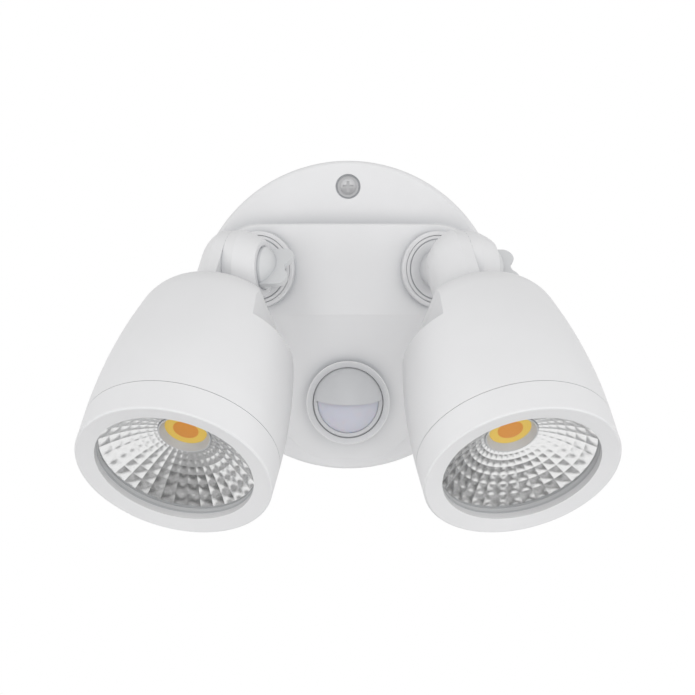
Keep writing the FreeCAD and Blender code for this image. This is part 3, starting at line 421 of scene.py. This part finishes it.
def reflectorTree():
    tree, get = newTree("FacetedBowl", reflector)
    across = math2(tree, "ADD", math2(tree, "MULTIPLY", get["columns"], get["steps"]), 1.0)
    along = math2(tree, "ADD", math2(tree, "MULTIPLY", get["rows"], get["steps"]), 1.0)
    grid = addNode(tree, "GeometryNodeMeshGrid", {"Size X": 1.0, "Size Y": 1.0},
                   {"Vertices X": across, "Vertices Y": along})
    ends = addNode(tree, "GeometryNodeInputMeshEdgeVertices")
    middle = addNode(tree, "ShaderNodeVectorMath", {"operation": "ADD"},
                     {0: ends.outputs["Position 1"], 1: ends.outputs["Position 2"]})
    edge = addNode(tree, "ShaderNodeSeparateXYZ", None, {0: middle.outputs[0]})
    onBorder = []
    for axis, count in ((0, get["columns"]), (1, get["rows"])):
        share = math2(tree, "ADD", math2(tree, "MULTIPLY", edge.outputs[axis], 0.5), 0.5)
        cell = math2(tree, "MULTIPLY", share, count)
        gap = math2(tree, "ABSOLUTE", math2(tree, "SUBTRACT", cell, math2(tree, "ROUND", cell)))
        onBorder.append(math2(tree, "LESS_THAN", gap, get["nearBorder"]))
    border = math2(tree, "MAXIMUM", onBorder[0], onBorder[1])
    split = addNode(tree, "GeometryNodeSplitEdges", None, {0: grid.outputs[0], "Selection": border})
    spot = addNode(tree, "ShaderNodeSeparateXYZ", None,
                   {0: addNode(tree, "GeometryNodeInputPosition").outputs[0]})
    u = math2(tree, "ADD", spot.outputs[0], 0.5)
    v = math2(tree, "ADD", spot.outputs[1], 0.5)
    # a pillow on each facet: 0 on its borders and 1 in its middle
    pillow = None
    for share, count in ((u, get["columns"]), (v, get["rows"])):
        cell = math2(tree, "MULTIPLY", share, count)
        part = math2(tree, "ABSOLUTE", math2(tree, "SUBTRACT", cell, math2(tree, "ROUND", cell)))
        fall = math2(tree, "SUBTRACT", 1.0, part)
        crown = math2(tree, "MULTIPLY", fall, math2(tree, "MULTIPLY", part, 4.0))
        pillow = crown if pillow is None else math2(tree, "MULTIPLY", pillow, crown)
    spread = math2(tree, "POWER", v, get["crowding"])
    width = math2(tree, "SUBTRACT", get["rimRadius"], get["neckRadius"])
    radius = math2(tree, "ADD", get["neckRadius"], math2(tree, "MULTIPLY", spread, width))
    # a shallow parabola from the neck up to the rim
    share = math2(tree, "DIVIDE",
                  math2(tree, "SUBTRACT", math2(tree, "POWER", radius, 2.0),
                        math2(tree, "POWER", get["neckRadius"], 2.0)),
                  math2(tree, "SUBTRACT", math2(tree, "POWER", get["rimRadius"], 2.0),
                        math2(tree, "POWER", get["neckRadius"], 2.0)))
    height = math2(tree, "SUBTRACT", get["rimLevel"], get["neckLevel"])
    level = math2(tree, "ADD", get["neckLevel"], math2(tree, "MULTIPLY", share, height))
    lift = math2(tree, "MULTIPLY", math2(tree, "MULTIPLY", pillow, get["bulge"]),
                 math2(tree, "ADD", get["liftAtNeck"], spread))
    level = math2(tree, "ADD", level, math2(tree, "MULTIPLY", lift, get["liftAlong"]))
    radius = math2(tree, "SUBTRACT", radius, math2(tree, "MULTIPLY", lift, get["liftInwards"]))
    angle = math2(tree, "MULTIPLY", u, 2 * math.pi)
    point = addNode(tree, "ShaderNodeCombineXYZ", None,
                    {0: math2(tree, "MULTIPLY", radius, math2(tree, "COSINE", angle)),
                     1: math2(tree, "MULTIPLY", radius, math2(tree, "SINE", angle)), 2: level})
    moved = addNode(tree, "GeometryNodeSetPosition", None,
                    {0: split.outputs[0], "Position": point.outputs[0]})
    faced = addNode(tree, "GeometryNodeFlipFaces", None, {0: moved.outputs[0]})
    smooth = addNode(tree, "GeometryNodeSetShadeSmooth", None, {0: faced.outputs[0]})
    closeTree(tree, smooth.outputs[0], mirrorCoat)
    return tree


bowlTree = reflectorTree()
for side, word in ((-1, "left"), (1, "right")):
    bowl = runTree(bowlTree, word + "FacetedReflector", reflector, headPlace(side))
    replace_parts(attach(bowl, word + "_head"), word + "_reflector")
print("reflectors done")


def turnedMesh(name, profile, steps=96, closed=True):
    # turns (radius, level) points about Z; closed joins the last point to the first, and a point
    # of radius 0 is one vertex on the axis
    mesh = bpy.data.meshes.new(name)
    verts, faces, rings = [], [], []
    for radius, level in profile:
        if radius == 0:
            rings.append([len(verts)] * steps)
            verts.append((0, 0, level))
            continue
        rings.append(list(range(len(verts), len(verts) + steps)))
        for step in range(steps):
            turn = 2 * math.pi * step / steps
            verts.append((radius * math.cos(turn), radius * math.sin(turn), level))
    pairs = list(zip(rings, rings[1:]))
    if closed:
        pairs.append((rings[-1], rings[0]))
    for low, high in pairs:
        for step in range(steps):
            after = (step + 1) % steps
            corners = [low[step], low[after], high[after], high[step]]
            unique = list(dict.fromkeys(corners))
            if len(unique) > 2:
                faces.append(unique)
    mesh.from_pydata(verts, [], faces)
    mesh.update()
    return mesh


def ringProfile(ring):
    inner, outer, low, high = ring["inner"], ring["outer"], ring["low"], ring["high"]
    return [(inner, low), (outer, low), (outer, high), (inner, high)]


def finishPiece(name, mesh, matrix, material, smoothAngle=35):
    mesh.transform(matrix)
    mesh.materials.clear()
    mesh.materials.append(material)
    mesh.shade_smooth()
    mesh.set_sharp_from_angle(angle=math.radians(smoothAngle))
    piece = bpy.data.objects.new(name, mesh)
    scene.collection.objects.link(piece)
    return piece


led = {
    "plate": mm(109.2),
    "yellowTop": mm(110.7),
    "orangeTop": mm(111.0),
    "yellowRadius": mm(11.6),
    "orangeRadius": mm(6.75),
    "edge": mm(0.12),
}
for side, word in ((-1, "left"), (1, "right")):
    edge = led["edge"]
    yellow = turnedMesh("chip", [
        (0, led["plate"]), (led["yellowRadius"], led["plate"]),
        (led["yellowRadius"], led["yellowTop"] - edge), (led["yellowRadius"] - edge, led["yellowTop"]),
        (led["orangeRadius"], led["yellowTop"]), (0, led["yellowTop"]),
    ], closed=False)
    chip = finishPiece(word + "ChipBoard", yellow, headPlace(side), ledYellow)
    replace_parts(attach(chip, word + "_head"), word + "_led_chip")
    dome = turnedMesh("emitter", [
        (led["orangeRadius"], led["yellowTop"]), (led["orangeRadius"] - edge / 2, led["orangeTop"] - edge),
        (led["orangeRadius"] - 2 * edge, led["orangeTop"] - edge / 3), (0, led["orangeTop"]),
    ], closed=False)
    emitter = finishPiece(word + "Emitter", dome, headPlace(side), ledOrange)
    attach(emitter, word + "_head")
print("light sources done")


# the fired grey band round the edge of the glass
edgeBand = {"inner": mm(41.95), "outer": mm(42.4), "low": mm(129.85), "high": mm(131.95)}
for side, word in ((-1, "left"), (1, "right")):
    frit = turnedMesh("band", ringProfile(edgeBand), steps=128)
    band = finishPiece(word + "GlassBand", frit, headPlace(side), enamelGrey)
    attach(band, word + "_head")
print("glass bands done")


teeth = {
    "count": 36,
    "ringRadius": mm(19.3),   # middle of a tooth
    "toothLength": mm(1.5),
    "toothWidth": mm(2.6),    # leaves a small dark notch between two teeth
    "toothHeight": mm(0.17),  # fills the gap between barrel and ear
}


def teethTree():
    # radial teeth on a ring round X, as on the face of a friction joint
    tree, get = newTree("FaceTeeth", teeth)
    ring = addNode(tree, "GeometryNodeMeshCircle", None,
                   {"Vertices": get["count"], "Radius": get["ringRadius"]})
    size = addNode(tree, "ShaderNodeCombineXYZ", None,
                   {0: get["toothLength"], 1: get["toothWidth"], 2: get["toothHeight"]})
    tooth = addNode(tree, "GeometryNodeMeshCube", None, {"Size": size.outputs[0]})
    number = addNode(tree, "GeometryNodeInputIndex")
    turn = math2(tree, "DIVIDE", math2(tree, "MULTIPLY", number.outputs[0], 2 * math.pi), get["count"])
    angles = addNode(tree, "ShaderNodeCombineXYZ", None, {2: turn})
    spread = addNode(tree, "GeometryNodeInstanceOnPoints", None,
                     {"Points": ring.outputs[0], "Instance": tooth.outputs[0], "Rotation": angles.outputs[0]})
    closeTree(tree, spread.outputs[0], coat)
    return tree


towardsKnob = Matrix.Rotation(math.radians(90), 4, "Y")
faceTeeth = teethTree()
for side, word in ((-1, "left"), (1, "right")):
    level = Matrix.Translation(Vector((-teeth["toothHeight"] / 2, 0, 0)))
    ring = runTree(faceTeeth, word + "KnuckleTeeth", teeth, armPlace(side) @ level @ towardsKnob)
    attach(ring, word + "_arm")
print("knuckle teeth done")


# the step in the end of the barrel that leaves only a shallow groove round the knob
recessStep = {"inner": mm(11.45), "outer": mm(11.95), "low": mm(12.1), "high": mm(16.2)}
for side, word in ((-1, "left"), (1, "right")):
    step = turnedMesh("step", ringProfile(recessStep))
    collar = finishPiece(word + "RecessStep", step, armPlace(side) @ towardsKnob, coat)
    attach(collar, word + "_arm")
print("recess steps done")


hood = {
    "centre": Vector((0, -mm(30.0), -mm(48.3))),   # middle of the eyeball, on its tilt axis
    "radius": mm(19.97),
    "dimple": mm(0.42),
    # radius and level of the cup's corners, in dimple radii
    "cup": [(1, -1 / 4), (1, 1 / 12), (0.8, 1 / 8), (0.55, -1 / 12), (0, -1 / 8)],
    # to the right of the middle and above it, mm
    "spots": [(-13.9, 4.9), (-15.6, 3.1), (-12.8, 2.2), (14.1, 4.9), (16.0, 3.1), (12.9, 2.2)],
}
for number, (across, up) in enumerate(hood["spots"], start=1):
    x, z = mm(across), mm(up)
    out = Vector((x, -math.sqrt(hood["radius"] ** 2 - x * x - z * z), z)).normalized()
    spot = hood["centre"] + out * hood["radius"]
    turned = Matrix.Translation(spot) @ out.to_track_quat("Z", "Y").to_matrix().to_4x4()
    profile = [(radius * hood["dimple"], level * hood["dimple"]) for radius, level in hood["cup"]]
    cup = turnedMesh("dimple", profile, steps=20, closed=False)
    pip = finishPiece(f"HoodDimple{number}", cup, turned, housingPlastic)
    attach(pip, "sensor")
print("hood dimples done")


view = {
    "height": mm(-18.2),
    "across": mm(-0.3),
    "distance": 1.9,
    "focalPixels": 3417.0,
    "framePixels": 695.0,
    "sensorWidth": 36,
    "clipEnd": 50,
}
camera = bpy.data.objects.new("Camera", bpy.data.cameras.new("Camera"))
scene.collection.objects.link(camera)
camera.location = (view["across"], -view["distance"], view["height"])
camera.rotation_euler = (math.radians(90), 0, 0)
camera.data.sensor_width = view["sensorWidth"]
camera.data.lens = view["sensorWidth"] * view["focalPixels"] / view["framePixels"]
camera.data.clip_end = view["clipEnd"]
camera.data.dof.use_dof = False
scene.camera = camera

studio = {
    "floorLevel": -0.34,
    "floorNear": -4.0,
    "floorFar": 1.0,      # ends below the camera's view, so the light hangs before plain white
    "floorHalf": 4.0,
    "paper": "#F4F4F4",
    "paperRoughness": 0.9,
    "white": "#FFFFFF",
    "ambient": 0.62,
    "clothScale": 3.0,    # patches of light and dark that polished pieces see between the cards
    "clothLow": 0.35,
    "clothHigh": 0.68,
    "tableDark": 0.12,
    "tableLight": 0.60,
    "cardPower": 4.0,     # rounds a card's corners
    "cardFull": 0.3,      # where a card's light begins to fade, and where it ends
    "cardEnd": 2.2,
    # white cards on the floor that only polished pieces see: x, y, half width, half length
    "cards": [(0.085, -0.15, 0.215, 0.135), (0.38, -0.50, 0.13, 0.10), (-0.50, -0.10, 0.14, 0.20)],
}

floorMaterial, floorTree = newMaterial("PaleFloor")
paper = addNode(floorTree, "ShaderNodeBsdfPrincipled",
                {"Base Color": linear(studio["paper"]), "Roughness": studio["paperRoughness"]})
floorWhere = addNode(floorTree, "ShaderNodeTexCoord").outputs["Object"]
floorSpot = addNode(floorTree, "ShaderNodeSeparateXYZ", None, {0: floorWhere})
cloth = addNode(floorTree, "ShaderNodeTexNoise", {"Scale": studio["clothScale"], "Detail": 0.0},
                {"Vector": floorWhere})
cardLight = addNode(floorTree, "ShaderNodeMapRange",
                    {"From Min": studio["clothLow"], "From Max": studio["clothHigh"],
                     "To Min": studio["tableDark"], "To Max": studio["tableLight"]},
                    {0: cloth.outputs[0]}).outputs[0]
for x, y, halfWidth, halfLength in studio["cards"]:
    reaches = []
    for axis, middle, halfSize in ((0, x, halfWidth), (1, y, halfLength)):
        offset = math2(floorTree, "SUBTRACT", floorSpot.outputs[axis], middle)
        share = math2(floorTree, "ABSOLUTE", math2(floorTree, "DIVIDE", offset, halfSize))
        reaches.append(math2(floorTree, "POWER", share, studio["cardPower"]))
    away = math2(floorTree, "ADD", reaches[0], reaches[1])
    card = addNode(floorTree, "ShaderNodeMapRange",
                   {"interpolation_type": "SMOOTHSTEP", "From Min": studio["cardEnd"],
                    "From Max": studio["cardFull"], "To Min": 0.0, "To Max": 1.0}, {0: away}).outputs[0]
    cardLight = math2(floorTree, "MAXIMUM", cardLight, card)
mirrored = addNode(floorTree, "ShaderNodeEmission", {"Color": linear(studio["white"])},
                   {"Strength": cardLight})
floorRays = addNode(floorTree, "ShaderNodeLightPath")
floorLook = addNode(floorTree, "ShaderNodeMixShader", None,
                    {0: floorRays.outputs["Is Glossy Ray"], 1: paper.outputs[0], 2: mirrored.outputs[0]})
# clear from below, so the underside of the light can be looked at
floorSide = addNode(floorTree, "ShaderNodeNewGeometry").outputs["Backfacing"]
clear = addNode(floorTree, "ShaderNodeBsdfTransparent")
floorSeen = addNode(floorTree, "ShaderNodeMixShader", None,
                    {0: floorSide, 1: floorLook.outputs[0], 2: clear.outputs[0]})
endMaterial(floorTree, floorSeen)
floorMesh = bpy.data.meshes.new("Floor")
half, near, far = studio["floorHalf"], studio["floorNear"], studio["floorFar"]
floorCorners = [(-half, near, 0), (half, near, 0), (half, far, 0), (-half, far, 0)]
floorMesh.from_pydata(floorCorners, [], [(0, 1, 2, 3)])
floorMesh.transform(Matrix.Translation(Vector((0, 0, studio["floorLevel"]))))
floorMesh.materials.append(floorMaterial)
floor = bpy.data.objects.new("Floor", floorMesh)
scene.collection.objects.link(floor)

world = bpy.data.worlds.new("Studio")
scene.world = world
world.use_nodes = True
sky = world.node_tree
sky.nodes.clear()
rays = addNode(sky, "ShaderNodeLightPath")
# the camera and polished pieces see plain white, the rest is lit by a dimmer sky
direct = math2(sky, "MAXIMUM", rays.outputs["Is Camera Ray"], rays.outputs["Is Transmission Ray"])
direct = math2(sky, "MAXIMUM", direct, rays.outputs["Is Glossy Ray"])
skyWhite = linear(studio["white"])
ambient = addNode(sky, "ShaderNodeBackground", {"Color": skyWhite, "Strength": studio["ambient"]})
white = addNode(sky, "ShaderNodeBackground", {"Color": skyWhite, "Strength": 1.0})
skyLook = addNode(sky, "ShaderNodeMixShader", None, {0: direct, 1: ambient.outputs[0], 2: white.outputs[0]})
addNode(sky, "ShaderNodeOutputWorld", None, {0: skyLook.outputs[0]})


def softBox(name, location, target, size, power):
    light = bpy.data.objects.new(name, bpy.data.lights.new(name, "AREA"))
    light.data.shape = "DISK"
    light.data.size = size
    light.data.energy = power
    light.location = location
    light.rotation_euler = (Vector(target) - Vector(location)).to_track_quat("-Z", "Y").to_euler()
    light.visible_glossy = False   # polished pieces see the cards on the floor instead
    scene.collection.objects.link(light)


# place (m), aimed at (m), diameter (m), power (W)
softBoxes = {
    "KeyLight": ((-0.5, -1.6, 0.9), (0, -0.06, 0), 1.0, 3.5),
    "FillLight": ((0.5, -1.7, 0.3), (0, -0.06, 0), 1.0, 3.6),
    "LeftLight": ((-1.3, -0.5, 0.0), (-0.05, -0.1, -0.05), 0.7, 3.0),
    "RightLight": ((1.3, -0.5, 0.0), (0.05, -0.1, -0.05), 0.7, 3.0),
    "LowLight": ((0, -1.1, -0.3), (0, -0.15, -0.06), 0.9, 3.5),
}
for name, settings in softBoxes.items():
    softBox(name, *settings)
scene.view_settings.view_transform = "Standard"
print("stage done")
